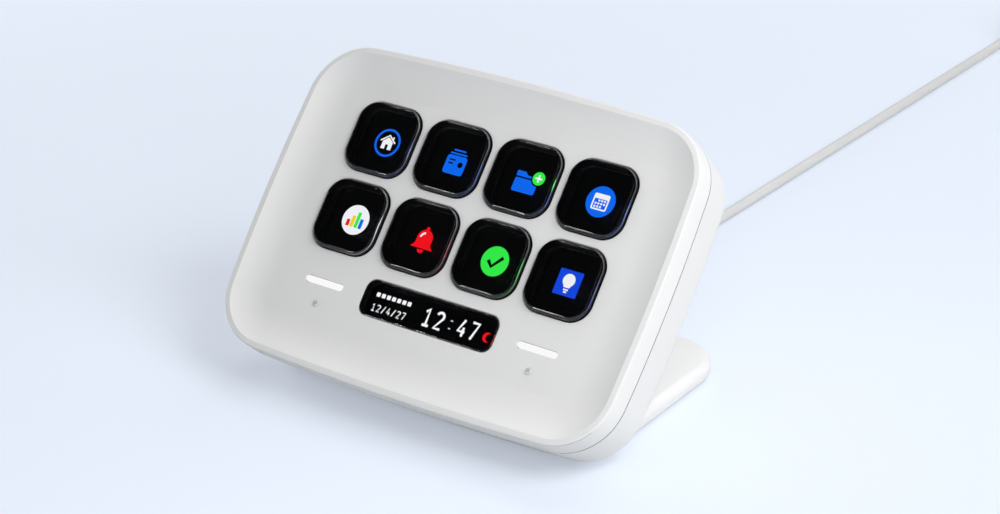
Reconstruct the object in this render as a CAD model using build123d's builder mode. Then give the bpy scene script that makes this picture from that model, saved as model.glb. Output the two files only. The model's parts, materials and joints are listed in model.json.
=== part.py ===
from build123d import *
import os
from math import cos, pi, radians, sin, sqrt, tan

os.makedirs("parts", exist_ok=True)

# A desk keypad with eight clear picture keys over one display. The body leans back on a flat foot.
# Millimetres. +Z is up, the face looks towards -Y, and the origin is on the desk under the middle.
# The body is drawn on its face plane: x to the right, y up along the face, and z out of the face,
# measured from the flat bed that carries the keys and from the middle of the key grid.

# Driving dimensions: the body
lean = 40.5            # how far the face leans back from upright, degrees
side_margin = 15.38    # from the display's side to the body's side, at the seam between the shells
top_margin = 6.6       # from the display's upper edge to the body's top
low_margin = 7.7       # from the display's lower edge to the body's foot
corner_r = 14.2        # corner radius of the outline
crown = 1.6            # how far each side bows outward at its middle
body_lift = 0.3        # the body's lowest point above the desk
rim_h = 2.45           # the rim stands above the flat bed
rim_band = 1.45        # width of the sloped band on top of the rim
rim_drop = 0.12        # how far that band slopes down to its outer edge
rim_land = 0.12        # flat strip left at the band's inner edge
rim_round = 0.35       # rounding of the band's outer edge
cove_r = 18.0          # radius of the hollow sweep from the rim to the flat bed
seam_depth = 3.4       # the seam between the shells lies below the bed
front_draft = 2.0      # slope of the front shell's flank, degrees
rear_draft = 5.5       # slope of the rear shell's flank, degrees
back_depth = 16.9      # the back face lies below the bed
back_round = 3.0       # rounding of the back edge
wall = 2.0             # side wall of the front shell
back_wall = 1.8        # back wall of the rear shell
bed_wall = 1.4         # the bed that carries the keys
seam_groove = 0.3      # width and depth of the shadow groove at the seam
lip_h = 1.4            # locating lip of the rear shell, inside the front shell
lip_t = 0.9
lip_gap = 0.1

# Driving dimensions: keys, windows and marks on the bed
pitch = 19.6           # key spacing both ways
key_cols = 4
key_rows = 2
aperture_w = 17.7
aperture_h = 17.5
aperture_r = 5.0
aperture_round = 0.3   # rounding of an opening's edge on the bed
key_gap = 0.2          # clearance round a key in its aperture
key_proud = 1.1        # the key's top stands above the bed
key_round = 0.9        # rounding of the key's top edge
flange_grow = 0.5      # the key's flange reaches past the aperture on each side
flange_t = 0.7
key_travel = 1.0
stop_gap = 0.1         # what is left under the flange at full travel
window_w = 15.2        # openings in the membrane and the key board under each key
window_r = 3.4
window_gap = 0.2       # clearance round what passes through them
screen_gap = 0.15      # what is left over the display at full travel
info_w = 36.6
info_h = 8.8
info_r = 2.5
info_y = -26.2
info_proud = 0.12
info_flange = 0.8      # the info lens's flange reaches past its window
glass_gap = 0.12       # clearance round the info lens and the light bars
bar_x = 29.4
bar_w = 10.8
bar_h = 1.75
bar_sink = 0.2         # the light bar's face lies below the bed
bar_flange = 0.6
pip_y = -31.3
pip_d = 1.7
pip_proud = 0.35
pip_gap = 0.05
pip_flange_r = 1.5
pip_flange_t = 0.5
touch_pad_r = 1.5

# Driving dimensions: inside the body
board_gap = 0.4        # room round the key board in the rear shell
membrane_t = 0.4
membrane_margin = 0.9  # the membrane reaches past the outer keys' flanges
key_board_t = 0.8
key_board_foot = -36.0  # the key board's lower edge
panel_w = 76.9
panel_h = 63.9
panel_y = -7.35
panel_t = 1.6
panel_r = 1.0
backlight_t = 1.4
bracket_t = 0.6
bracket_gap = 0.3      # room round the display in its bracket
ear_w = 5.0
main_gap = 1.2         # between the bracket and the main board
main_t = 1.0
main_w = 44.0
main_rise = 2.0        # the main board's upper edge stands this far above the display's bracket
main_edge = 2.2        # from the cable header to the main board's lower edge
main_r = 1.5
post_x = 18.0
post_inset = 5.0       # from the main board's upper edge to the upper posts
post_step = 45.0       # from the upper posts to the lower ones
flex_w = 16.0
flex_t = 0.2
flex_drop = 0.8        # the flex leaves the display this far below its front
flex_reach = 2.6       # how far its bend stands out past the display's lower edge
flex_end_y = -30.0
bend_share = 0.45      # a bend's radius, as a share of the run that it turns
flex_slot_gap = 0.5    # room each side of the flex where it leaves its bracket
connector_grow = 1.5   # the connector is wider than the flex on each side
connector_l = 3.6
link_w = 16.0          # header that joins the main board to the key board
link_h = 1.6
link_inset = 0.9       # the link's middle lies below the main board's upper edge
led_w = 2.0
led_h = 0.6
led_spread = 2.7
edge_r = 0.3           # corner radius of small moulded and soldered parts
edge_bevel = 0.12
chips = {              # width, length, thickness, place on the back of the main board
    "controller_chip": (9.0, 9.0, 1.0, (0, -4.0)),
    "memory_chip": (6.0, 5.0, 0.8, (-12.0, -6.0)),
    "clock_crystal": (3.2, 2.5, 0.8, (9.5, -6.5)),
    "power_regulator": (4.0, 4.0, 0.9, (11.5, -29.0)),
}
header_w = 9.0
header_l = 4.0
header_t = 1.2
boss_r = 3.0           # bosses for the shell screws
boss_gap = 0.6
boss_inset = 10.6      # from the body's sides, top and foot
boss_split = 6.2       # the two halves of each boss meet this far below the bed
small_boss_r = 2.2     # bosses for the board screws
ear_reach = 7.25       # from the side of the display's tray to the board screws
small_boss_ys = (-20.0, 4.0)
post_r = 2.2           # posts under the main board
screw_r = 1.0
screw_head_r = 1.9
screw_head_t = 1.3
screw_tip = 2.4        # the shell screws end this far below the bed
counterbore_r = 2.2
counterbore_depth = 3.0
small_screw_r = 0.7
small_head_r = 1.4
small_head_t = 0.9
small_screw_tip = 2.0
post_screw_len = 2.4
screw_gap = 0.1        # room round a screw in a clearance hole
recess_r = 0.7         # drive recess in a screw's head
recess_depth = 0.6

# Driving dimensions: the foot
foot_w = 88.6
foot_back = 42.3       # the foot's rear edge behind the key grid's centre
foot_tuck = 9.0        # the foot's front edge lies this far behind the body's lowest line
foot_t = 4.0
foot_corner = 12.0
foot_front_corner = 3.8
foot_top_round = 2.0
foot_base_round = 1.1
pad_proud = 0.5
pad_pocket = 0.5
pad_inset = 3.0
pad_gap = 0.15
pad_round = 0.2
ballast_w = 78.0
ballast_l = 36.0
ballast_t = 1.8
ballast_r = 2.0
ballast_gap = 0.1
heel_w = 60.0
heel_h = 12.0          # the heel block stands above the foot
heel_tuck = 3.9        # the heel block's front lies this far behind the body's lowest line
heel_l = 14.0          # from there to its upright rear face
heel_round = 1.2
gland_rise = 3.5       # the cable's exit above the foot
gland_r = 3.8
gland_seat = 3.0       # how deep the strain relief's head sits in the heel
gland_gap = 0.05
boot_r = 3.1
boot_tip_r = 1.8
boot_len = 15.0
boot_ribs = 4
boot_groove_w = 1.0
boot_groove_depth = 0.35
stand_screw_x = 24.0
stand_screw_inset = 13.0  # from the body's foot, along the face
stand_screw_len = 6.0

# Driving dimensions: the cable and its plug
cable_d = 2.8
wires_d = 1.6
wires_gap = 0.4
coil_across = 3
coil_layers = 4
coil_step = 2.9        # spacing of the turns
coil_edge_gap = 0.05   # the coil's edges are this much sharper than its cable
coil_mid_r = 16.6
coil_left_x = 7.0      # the cable reaches the coil here
coil_y = 286.0
coil_lift = 0.7        # the coil lies on its tie
tie_w = 6.0
tie_t = 0.6
plug_w = 15.6
plug_h = 7.6
plug_r = 2.2
plug_len = 22.0
plug_nose = 5.0        # moulded taper where the cable enters the plug
plug_nose_w = 5.0
plug_nose_wall = 0.5   # moulding above and below the cable
plug_aside = 1.2       # the plug lies this far past the coil's outermost turn
plug_back_y = 250.0
plug_shell_w = 12.0
plug_shell_h = 4.5
plug_shell_r = 0.6
plug_shell_len = 18.6
plug_shell_t = 0.35
plug_tongue_t = 1.8
plug_tongue_back = 0.6

# Worked out from the driving dimensions: the face plane and the levels below the bed
lean_sin = sin(radians(lean))
lean_cos = cos(radians(lean))
body_w = panel_w + 2 * side_margin
body_h = panel_h + top_margin + low_margin
body_mid = panel_y + (top_margin - low_margin) / 2
body_top = body_mid + body_h / 2
body_low = body_mid - body_h / 2
rim_inset = (rim_h + seam_depth) * tan(radians(front_draft))
front_edge_y = body_low + rim_inset - rim_drop * tan(radians(front_draft))
front_reach = (rim_h - rim_drop) * lean_cos - front_edge_y * lean_sin
grid_y = (front_reach - foot_back) / 2
round_z = back_round - back_depth
round_y = body_low - (round_z + seam_depth) * tan(radians(rear_draft)) + back_round / cos(radians(rear_draft))
grid_height = body_lift + back_round - round_y * lean_cos - round_z * lean_sin
rest_y = round_y * lean_sin - round_z * lean_cos  # the body's lowest line, from the grid's centre
face = Plane(origin=(0, grid_y, grid_height), x_dir=(1, 0, 0), z_dir=(0, -lean_cos, lean_sin))
face_axis = Axis(face.origin, face.z_dir)
rear_inset = wall + lip_gap + lip_t
board_inset = rear_inset + board_gap

flange_z = -bed_wall
membrane_z = flange_z - flange_t - key_travel - stop_gap
key_board_z = membrane_z - membrane_t
panel_z = key_board_z - key_board_t
cap_foot_z = panel_z + key_travel + screen_gap
backlight_z = panel_z - panel_t
bracket_z = backlight_z - backlight_t
main_z = bracket_z - bracket_t - main_gap
chip_z = main_z - main_t
inner_back_z = back_wall - back_depth
panel_foot = panel_y - panel_h / 2
main_top = panel_y + panel_h / 2 + bracket_gap + bracket_t + main_rise

# Worked out: the foot and the cable's exit
foot_z = pad_proud
foot_top = foot_z + foot_t
foot_front_y = grid_y + rest_y + foot_tuck
foot_back_y = grid_y + foot_back
foot_l = foot_back_y - foot_front_y
heel_front_y = grid_y + rest_y + heel_tuck
heel_back_y = heel_front_y + heel_l
gland_z = foot_top + gland_rise
gland = Plane(origin=(0, heel_back_y, gland_z), x_dir=(1, 0, 0), z_dir=(0, 1, 0))
header_z = chip_z - header_t / 2
header_y = (gland_z - grid_height - header_z * lean_sin) / lean_cos
main_foot = header_y - header_l / 2 - main_edge
chips["cable_header"] = (header_w, header_l, header_t, (0, header_y))

# Worked out: where the repeated features stand
key_spots = [
    ((col - (key_cols - 1) / 2) * pitch, ((key_rows - 1) / 2 - row) * pitch)
    for row in range(key_rows)
    for col in range(key_cols)
]
bar_spots = [(-bar_x, info_y), (bar_x, info_y)]
pip_spots = [(-bar_x, pip_y), (bar_x, pip_y)]
boss_x = body_w / 2 - boss_inset
boss_spots = [(side * boss_x, y) for side in (-1, 1) for y in (body_low + boss_inset, body_top - boss_inset)]
tray_w = panel_w + 2 * bracket_gap
tray_h = panel_h + 2 * bracket_gap
small_boss_x = tray_w / 2 + bracket_t + ear_reach
small_spots = [(side * small_boss_x, y) for side in (-1, 1) for y in small_boss_ys]
post_y = main_top - post_inset
post_spots = [(side * post_x, y) for side in (-1, 1) for y in (post_y - post_step, post_y)]
stand_spots = [(side * stand_screw_x, body_low + stand_screw_inset) for side in (-1, 1)]
led_spots = [(x + side * led_spread, y) for x, y in bar_spots for side in (-1, 1)]
cap_w = aperture_w - 2 * key_gap
cap_h = aperture_h - 2 * key_gap
cap_r = aperture_r - key_gap
flange_w = aperture_w + 2 * flange_grow
flange_h = aperture_h + 2 * flange_grow
flange_r = aperture_r + flange_grow
block_w = window_w - 2 * window_gap
block_r = window_r - window_gap
lens_w = info_w - 2 * glass_gap
lens_h = info_h - 2 * glass_gap
lens_r = info_r - glass_gap


near = 0.02  # how closely a height is matched when a face or an edge is picked


def height(shape):
    """How far a shape's centre lies above the bed."""
    return (shape.center() - face.origin).dot(face.z_dir)


def outline(z, inset):
    """The body's crowned outline at height z, moved inward by inset."""
    w = body_w / 2 - crown - inset
    h = body_h / 2 - crown - inset
    low = body_mid - h
    top = body_mid + h
    with BuildSketch(face.offset(z)) as sketch:
        with BuildLine():
            ThreePointArc((-w, low), (0, low - crown), (w, low))
            ThreePointArc((w, low), (w + crown, body_mid), (w, top))
            ThreePointArc((w, top), (0, top + crown), (-w, top))
            ThreePointArc((-w, top), (-w - crown, body_mid), (-w, low))
        make_face()
        fillet(sketch.vertices(), radius=corner_r - inset)
    return sketch.sketch


def rounded(z, width, depth, radius, spots):
    """Rounded rectangles at height z, one at each spot."""
    with BuildSketch(face.offset(z)) as sketch:
        with Locations(*spots):
            RectangleRounded(width, depth, radius)
    return sketch.sketch


def pills(z, width, depth, spots):
    """Slots with round ends at height z, one at each spot."""
    with BuildSketch(face.offset(z)) as sketch:
        with Locations(*spots):
            SlotOverall(width, depth)
    return sketch.sketch


def discs(z, radius, spots):
    """Round discs at height z, one at each spot."""
    with BuildSketch(face.offset(z)) as sketch:
        with Locations(*spots):
            Circle(radius)
    return sketch.sketch


def foot_outline(z, inset):
    """The foot's outline at height z above the desk, moved inward by inset."""
    with BuildSketch(Plane.XY.offset(z)) as sketch:
        with Locations((0, (foot_front_y + foot_back_y) / 2)):
            Rectangle(foot_w - 2 * inset, foot_l - 2 * inset)
        rows = sketch.vertices().group_by(Axis.Y)
        fillet(rows[-1], radius=foot_corner - inset)
        fillet(rows[0], radius=max(foot_front_corner - inset, edge_r))
    return sketch.sketch


def save(piece, name):
    """Label a finished piece and write it."""
    piece.label = name
    export_step(piece, "parts/" + name + ".step")


# The outer form of the rear shell as one solid, which the foot is also fitted against
with BuildPart() as rear_form:
    extrude(outline(-seam_depth, 0), amount=-(back_depth - seam_depth), taper=rear_draft)
    back = rear_form.faces().sort_by(face_axis).first
    fillet(back.edges(), radius=back_round)

# The hollow of the face: a flat bed with a wide cove that runs up to the rim
cove_reach = sqrt(cove_r**2 - (cove_r - rim_h) ** 2)
dish_inset = rim_inset + rim_band + rim_land + cove_reach - cove_r
with BuildPart() as dish:
    extrude(outline(0, dish_inset), amount=cove_r + rim_h)
    bed = dish.faces().sort_by(face_axis).first
    fillet(bed.edges(), radius=cove_r)

# Front shell: rim, dished bed with its openings, and bosses behind it
with BuildPart() as front_shell:
    extrude(outline(-seam_depth, 0), amount=rim_h + seam_depth, taper=front_draft)
    crest = front_shell.faces().sort_by(face_axis).last
    chamfer(crest.edges(), length=rim_band, length2=rim_drop, reference=crest)
    rim_foot = front_shell.edges().filter_by(lambda e: abs(height(e) - rim_h + rim_drop) < near)
    fillet(rim_foot, radius=rim_round)
    add(dish.part, mode=Mode.SUBTRACT)
    extrude(outline(-seam_depth, wall), amount=seam_depth - bed_wall, mode=Mode.SUBTRACT)
    extrude(rounded(0, aperture_w, aperture_h, aperture_r, key_spots), amount=-bed_wall, mode=Mode.SUBTRACT)
    extrude(rounded(0, info_w, info_h, info_r, [(0, info_y)]), amount=-bed_wall, mode=Mode.SUBTRACT)
    extrude(pills(0, bar_w, bar_h, bar_spots), amount=-bed_wall, mode=Mode.SUBTRACT)
    extrude(discs(0, pip_d / 2, pip_spots), amount=-bed_wall, mode=Mode.SUBTRACT)
    on_bed = front_shell.faces().filter_by(lambda f: abs(height(f)) < near)
    rings = on_bed.sort_by(SortBy.AREA).last.inner_wires().sort_by(SortBy.LENGTH)[-len(key_spots) - 1 :]
    fillet([e for ring in rings for e in ring.edges()], radius=aperture_round)
    extrude(discs(-bed_wall, boss_r, boss_spots), amount=bed_wall - boss_split)
    extrude(discs(-bed_wall, small_boss_r, small_spots), amount=key_board_z + bed_wall)
    extrude(discs(-boss_split, screw_r, boss_spots), amount=boss_split - screw_tip, mode=Mode.SUBTRACT)
    pilot = small_screw_tip + key_board_z
    extrude(discs(key_board_z, small_screw_r, small_spots), amount=-pilot, mode=Mode.SUBTRACT)
save(front_shell.part, "front_shell")

# The shadow groove that runs round the flank at the seam
with BuildPart() as groove:
    extrude(outline(-seam_depth, -seam_groove), amount=-seam_groove)
    extrude(outline(-seam_depth, seam_groove), amount=-seam_groove, mode=Mode.SUBTRACT)

# Rear shell: back and flank, locating lip, screw columns and posts
with BuildPart() as rear_shell:
    add(rear_form.part)
    add(groove.part, mode=Mode.SUBTRACT)
    extrude(outline(-seam_depth, rear_inset), amount=inner_back_z + seam_depth, mode=Mode.SUBTRACT)
    extrude(outline(-seam_depth, wall + lip_gap), amount=lip_h)
    extrude(outline(-seam_depth, rear_inset), amount=lip_h, mode=Mode.SUBTRACT)
    extrude(discs(inner_back_z, boss_r, boss_spots), amount=-boss_split - inner_back_z)
    extrude(discs(inner_back_z, post_r, post_spots), amount=chip_z - inner_back_z)
    extrude(discs(-back_depth, counterbore_r, boss_spots), amount=counterbore_depth, mode=Mode.SUBTRACT)
    extrude(discs(-back_depth, screw_r + screw_gap, boss_spots), amount=back_depth, mode=Mode.SUBTRACT)
    extrude(discs(-back_depth, screw_r + screw_gap, stand_spots), amount=back_wall, mode=Mode.SUBTRACT)
    extrude(discs(chip_z, small_screw_r, post_spots), amount=-(post_screw_len - main_t), mode=Mode.SUBTRACT)
    with BuildSketch(gland):
        Circle(wires_d / 2 + wires_gap)
    extrude(amount=-heel_l, mode=Mode.SUBTRACT)
save(rear_shell.part, "rear_shell")

# Eight key caps, each a clear block with a flange that the bed holds back
for number, spot in enumerate(key_spots, start=1):
    with BuildPart() as key_cap:
        extrude(rounded(flange_z, cap_w, cap_h, cap_r, [spot]), amount=key_proud - flange_z)
        fillet(key_cap.faces().sort_by(face_axis).last.edges(), radius=key_round)
        extrude(rounded(flange_z, flange_w, flange_h, flange_r, [spot]), amount=-flange_t)
        block = rounded(flange_z - flange_t, block_w, block_w, block_r, [spot])
        extrude(block, amount=cap_foot_z - flange_z + flange_t)
    save(key_cap.part, f"key_cap_{number}")

# The info lens, which stays still and reaches down to the display
with BuildPart() as info_lens:
    extrude(rounded(flange_z, lens_w, lens_h, lens_r, [(0, info_y)]), amount=info_proud - flange_z)
    fillet(info_lens.faces().sort_by(face_axis).last.edges(), radius=info_proud * 2)
    grown = 2 * info_flange
    lens_flange = rounded(flange_z, lens_w + grown, lens_h + grown, lens_r + info_flange, [(0, info_y)])
    extrude(lens_flange, amount=-flange_t)
    lens_block = rounded(flange_z - flange_t, lens_w, lens_h, lens_r, [(0, info_y)])
    extrude(lens_block, amount=panel_z - flange_z + flange_t)
save(info_lens.part, "info_lens")

# Light bars, which carry the light of the LEDs under them to the bed
for side, spot in zip(("left", "right"), bar_spots):
    with BuildPart() as light_bar:
        guide_w = bar_w - 2 * glass_gap
        guide_h = bar_h - 2 * glass_gap
        extrude(pills(-bar_sink, guide_w, guide_h, [spot]), amount=key_board_z + led_h + bar_sink)
        bar_grown = 2 * bar_flange
        extrude(pills(flange_z, bar_w + bar_grown, bar_h + bar_grown, [spot]), amount=-pip_flange_t)
    save(light_bar.part, f"light_bar_{side}")

# Touch pips with the soft pads that carry the touch to the key board
for side, spot in zip(("left", "right"), pip_spots):
    with BuildPart() as touch_pip:
        extrude(discs(flange_z, pip_d / 2 - pip_gap, [spot]), amount=pip_proud - flange_z)
        fillet(touch_pip.faces().sort_by(face_axis).last.edges(), radius=pip_proud)
        extrude(discs(flange_z, pip_flange_r, [spot]), amount=-pip_flange_t)
    save(touch_pip.part, f"touch_pip_{side}")
    with BuildPart() as touch_pad:
        extrude(discs(key_board_z, touch_pad_r, [spot]), amount=flange_z - pip_flange_t - key_board_z)
    save(touch_pad.part, f"touch_pad_{side}")

# Key membrane: a soft sheet with a window under each key
membrane_w = (key_cols - 1) * pitch + flange_w + 2 * membrane_margin
membrane_h = (key_rows - 1) * pitch + flange_h + 2 * membrane_margin
with BuildPart() as key_membrane:
    extrude(rounded(key_board_z, membrane_w, membrane_h, flange_r, [(0, 0)]), amount=membrane_t)
    windows = rounded(key_board_z, window_w, window_w, window_r, key_spots)
    extrude(windows, amount=membrane_t, mode=Mode.SUBTRACT)
save(key_membrane.part, "key_membrane")

# Key board: it follows the shell's outline, clears its bosses and is open over the display
with BuildSketch(face.offset(key_board_z)) as board_foot:
    with Locations((0, key_board_foot - body_h / 2)):
        Rectangle(body_w, body_h)
with BuildPart() as key_board:
    extrude(outline(key_board_z, board_inset), amount=-key_board_t)
    extrude(board_foot.sketch, amount=-key_board_t, mode=Mode.SUBTRACT)
    extrude(discs(key_board_z, boss_r + boss_gap, boss_spots), amount=-key_board_t, mode=Mode.SUBTRACT)
    extrude(windows, amount=-key_board_t, mode=Mode.SUBTRACT)
    room = 2 * window_gap
    info_hole = rounded(key_board_z, info_w + room, info_h + room, info_r + window_gap, [(0, info_y)])
    extrude(info_hole, amount=-key_board_t, mode=Mode.SUBTRACT)
    screw_holes = discs(key_board_z, small_screw_r + screw_gap, small_spots)
    extrude(screw_holes, amount=-key_board_t, mode=Mode.SUBTRACT)
save(key_board.part, "key_board")

# LEDs on the key board, two under each light bar
with BuildPart() as bar_leds:
    extrude(rounded(key_board_z, led_w, guide_h, edge_r, led_spots), amount=led_h)
save(bar_leds.part, "bar_leds")

# Display panel and its backlight
with BuildPart() as display_panel:
    extrude(rounded(panel_z, panel_w, panel_h, panel_r, [(0, panel_y)]), amount=-panel_t)
save(display_panel.part, "display_panel")

with BuildPart() as display_backlight:
    extrude(rounded(backlight_z, panel_w, panel_h, panel_r, [(0, panel_y)]), amount=-backlight_t)
save(display_backlight.part, "display_backlight")

# Bracket: a sheet metal tray round the display, with ears that the board screws hold
tray_depth = panel_z - bracket_z
flex_top_z = panel_z - flex_drop
with BuildSketch(face.offset(panel_z)) as ears:
    for x, y in small_spots:
        with Locations((x, y)):
            Circle(ear_w / 2)
        with Locations((x / 2, y)):
            Rectangle(abs(x), ear_w)
with BuildPart() as display_bracket:
    extrude(ears.sketch, amount=-bracket_t)
    outer_r = panel_r + bracket_t
    tray = rounded(panel_z, tray_w + 2 * bracket_t, tray_h + 2 * bracket_t, outer_r, [(0, panel_y)])
    extrude(tray, amount=-tray_depth - bracket_t)
    extrude(rounded(panel_z, tray_w, tray_h, panel_r, [(0, panel_y)]), amount=-tray_depth, mode=Mode.SUBTRACT)
    slot_y = panel_foot - bracket_gap - bracket_t / 2
    slot = rounded(flex_top_z + flex_t, flex_w + 2 * flex_slot_gap, 4 * bracket_t, edge_r, [(0, slot_y)])
    extrude(slot, amount=-3 * flex_t, mode=Mode.SUBTRACT)
    extrude(discs(panel_z, small_screw_r + screw_gap, small_spots), amount=-bracket_t, mode=Mode.SUBTRACT)
save(display_bracket.part, "display_bracket")

# Main board with its parts: connector, link to the key board, chips, crystal and cable header
with BuildPart() as main_board:
    main_mid = (main_top + main_foot) / 2
    extrude(rounded(main_z, main_w, main_top - main_foot, main_r, [(0, main_mid)]), amount=-main_t)
    extrude(discs(main_z, small_screw_r + screw_gap, post_spots), amount=-main_t, mode=Mode.SUBTRACT)
save(main_board.part, "main_board")

connector_t = main_gap / 2
with BuildPart() as display_connector:
    connector_w = flex_w + 2 * connector_grow
    connector_mid = flex_end_y + connector_l / 2
    extrude(rounded(main_z, connector_w, connector_l, edge_r, [(0, connector_mid)]), amount=connector_t)
save(display_connector.part, "display_connector")

with BuildPart() as board_link:
    extrude(rounded(main_z, link_w, link_h, edge_r, [(0, main_top - link_inset)]), amount=panel_z - main_z)
save(board_link.part, "board_link")

for name, (chip_w, chip_l, chip_t, spot) in chips.items():
    with BuildPart() as chip:
        extrude(rounded(chip_z, chip_w, chip_l, edge_r, [spot]), amount=-chip_t)
        chip_top = chip.faces().sort_by(face_axis).first
        chamfer(chip_top.edges(), length=edge_bevel)
    save(chip.part, name)
    if name == "cable_header":
        header = chip.part

# Display flex: out of the display's lower edge, round the bracket and into its connector
with BuildPart() as display_flex:
    out_y = panel_foot - flex_reach
    low_z = main_z + connector_t / 2
    with BuildSketch(Plane(origin=face.origin, x_dir=face.y_dir, z_dir=face.x_dir)):
        with BuildLine():
            start = (panel_foot - flex_t / 2, flex_top_z)
            end = (flex_end_y - flex_t / 2, low_z)
            bend_r = (flex_top_z - low_z) * bend_share
            FilletPolyline(start, (out_y, flex_top_z), (out_y, low_z), end, radius=[bend_r, bend_r])
            offset(amount=flex_t / 2, side=Side.BOTH, closed=True, kind=Kind.TANGENT)
        make_face()
    extrude(amount=flex_w / 2, both=True)
save(display_flex.part, "display_flex")

# Screws: into the shells from the back, through the bracket, into the posts and into the foot
def screws(spots, seat_z, shank_r, tip_z, head_r, head_t):
    """Screws whose heads sit on height seat_z, on the side away from their tips."""
    outward = 1 if seat_z > tip_z else -1
    with BuildPart() as group:
        extrude(discs(seat_z, head_r, spots), amount=outward * head_t)
        extrude(discs(seat_z, shank_r, spots), amount=tip_z - seat_z)
        recess_z = seat_z + outward * (head_t - recess_depth)
        recess = discs(recess_z, min(recess_r, head_r / 2), spots)
        extrude(recess, amount=outward * recess_depth, mode=Mode.SUBTRACT)
    return group.part


stand_tip_z = -back_depth - stand_screw_len
ear_z = panel_z - bracket_t
shell_seat_z = counterbore_depth - back_depth
post_tip_z = main_z - post_screw_len
save(screws(boss_spots, shell_seat_z, screw_r, -screw_tip, screw_head_r, screw_head_t), "shell_screws")
save(screws(small_spots, ear_z, small_screw_r, -small_screw_tip, small_head_r, small_head_t), "board_screws")
save(screws(post_spots, main_z, small_screw_r, post_tip_z, small_head_r, small_head_t), "post_screws")
save(screws(stand_spots, inner_back_z, screw_r, stand_tip_z, screw_head_r, screw_head_t), "stand_screws")

# Stand foot: a flat plate on the desk with a heel block that fits against the rear shell
pad_top = foot_z + pad_pocket
foot_mid_y = (foot_front_y + foot_back_y) / 2
with BuildPart() as stand_foot:
    extrude(foot_outline(foot_z, 0), amount=foot_t)
    fillet(stand_foot.faces().sort_by(Axis.Z).last.edges(), radius=foot_top_round)
    fillet(stand_foot.faces().sort_by(Axis.Z).first.edges(), radius=foot_base_round)
    with BuildSketch(Plane.XY.offset(foot_z + foot_base_round)):
        with Locations((0, (heel_front_y + heel_back_y) / 2)):
            Rectangle(heel_w, heel_l)
    extrude(amount=foot_t + heel_h - foot_base_round)
    heel_top = stand_foot.faces().sort_by(Axis.Z).last
    fillet(heel_top.edges().sort_by(Axis.Y).last, radius=heel_round)
    add(rear_form.part, mode=Mode.SUBTRACT)
    extrude(foot_outline(foot_z, pad_inset), amount=pad_pocket, mode=Mode.SUBTRACT)
    with BuildSketch(Plane.XY.offset(pad_top)):
        with Locations((0, foot_mid_y)):
            RectangleRounded(ballast_w + 2 * ballast_gap, ballast_l + 2 * ballast_gap, ballast_r)
    extrude(amount=ballast_t + ballast_gap, mode=Mode.SUBTRACT)
    with BuildSketch(gland):
        Circle(gland_r + gland_gap)
    extrude(amount=-gland_seat, mode=Mode.SUBTRACT)
    with BuildSketch(gland):
        Circle(wires_d / 2 + wires_gap)
    extrude(amount=-heel_l, mode=Mode.SUBTRACT)
    extrude(discs(-back_depth, screw_r, stand_spots), amount=-stand_screw_len, mode=Mode.SUBTRACT)
save(stand_foot.part, "stand_foot")

# Ballast plate in the foot, and the rubber pad that covers it and stands on the desk
with BuildPart() as ballast_plate:
    with BuildSketch(Plane.XY.offset(pad_top)):
        with Locations((0, foot_mid_y)):
            RectangleRounded(ballast_w, ballast_l, ballast_r - ballast_gap)
    extrude(amount=ballast_t)
save(ballast_plate.part, "ballast_plate")

with BuildPart() as foot_pad:
    extrude(foot_outline(0, pad_inset + pad_gap), amount=pad_top)
    fillet(foot_pad.faces().sort_by(Axis.Z).first.edges(), radius=pad_round)
save(foot_pad.part, "foot_pad")

# Strain relief: a head in the heel and a ribbed boot that tapers to the cable
groove_pitch = boot_len / (boot_ribs + 1)
boot_slope = (boot_tip_r - boot_r) / boot_len
boot_profile = [(0, -gland_seat), (gland_r, -gland_seat), (gland_r, 0), (boot_r, 0)]
for rib in range(1, boot_ribs + 1):
    for y, depth in ((-0.5, 0), (-0.5, 1), (0.5, 1), (0.5, 0)):
        along = rib * groove_pitch + y * boot_groove_w
        boot_profile.append((boot_r + boot_slope * along - depth * boot_groove_depth, along))
boot_profile += [(boot_tip_r, boot_len), (0, boot_len)]
with BuildPart() as strain_relief:
    with BuildSketch(Plane(origin=gland.origin, x_dir=(1, 0, 0), z_dir=(0, 0, 1))):
        with BuildLine():
            Polyline(*boot_profile, close=True)
        make_face()
    revolve(axis=Axis(gland.origin, gland.z_dir), revolution_arc=360)
save(strain_relief.part, "strain_relief")

# Cable wires: from the strain relief through the heel and the back wall to the cable header
with BuildPart() as cable_wires:
    with BuildSketch(gland.offset(-gland_seat)):
        Circle(wires_d / 2)
    extrude(amount=-heel_l)
    add(header, mode=Mode.SUBTRACT)
save(cable_wires.part.solids().sort_by(Axis.Y).last, "cable_wires")

# Cable route on the desk: over the foot's rear edge, then straight back to the coil
cable_r = cable_d / 2
tip_y = heel_back_y + boot_len
coil_out_r = coil_mid_r + (coil_across - 1) / 2 * coil_step  # middle of the outermost turn
coil_x = coil_left_x + coil_out_r
plug_x = coil_x + coil_out_r + plug_aside
coil_reach_r = coil_out_r + cable_r
coil_h = (coil_layers - 1) * coil_step + cable_d
coil_w = (coil_across - 1) * coil_step + cable_d
coil_touch = sqrt(coil_reach_r**2 - coil_out_r**2)
meet_y = coil_y - coil_touch  # the straight cable meets the coil here
lead_route = [
    (0, tip_y, gland_z),
    (0, 23.0, gland_z),
    (-0.2, 37.5, 7.3),
    (0.1, 53.0, 3.2),
    (0.4, 69.8, cable_r),
    (6.5, 265.0, cable_r + 0.2),
    (coil_left_x, meet_y, coil_lift + cable_r),
]
tail_route = [
    (coil_x + coil_out_r, meet_y, coil_lift + coil_h - cable_r),
    (coil_x + coil_out_r + 0.4, 270.0, 9.2),
    (plug_x, 261.0, 5.2),
    (plug_x, 255.0, plug_h / 2),
    (plug_x, plug_back_y, plug_h / 2),
]


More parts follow.
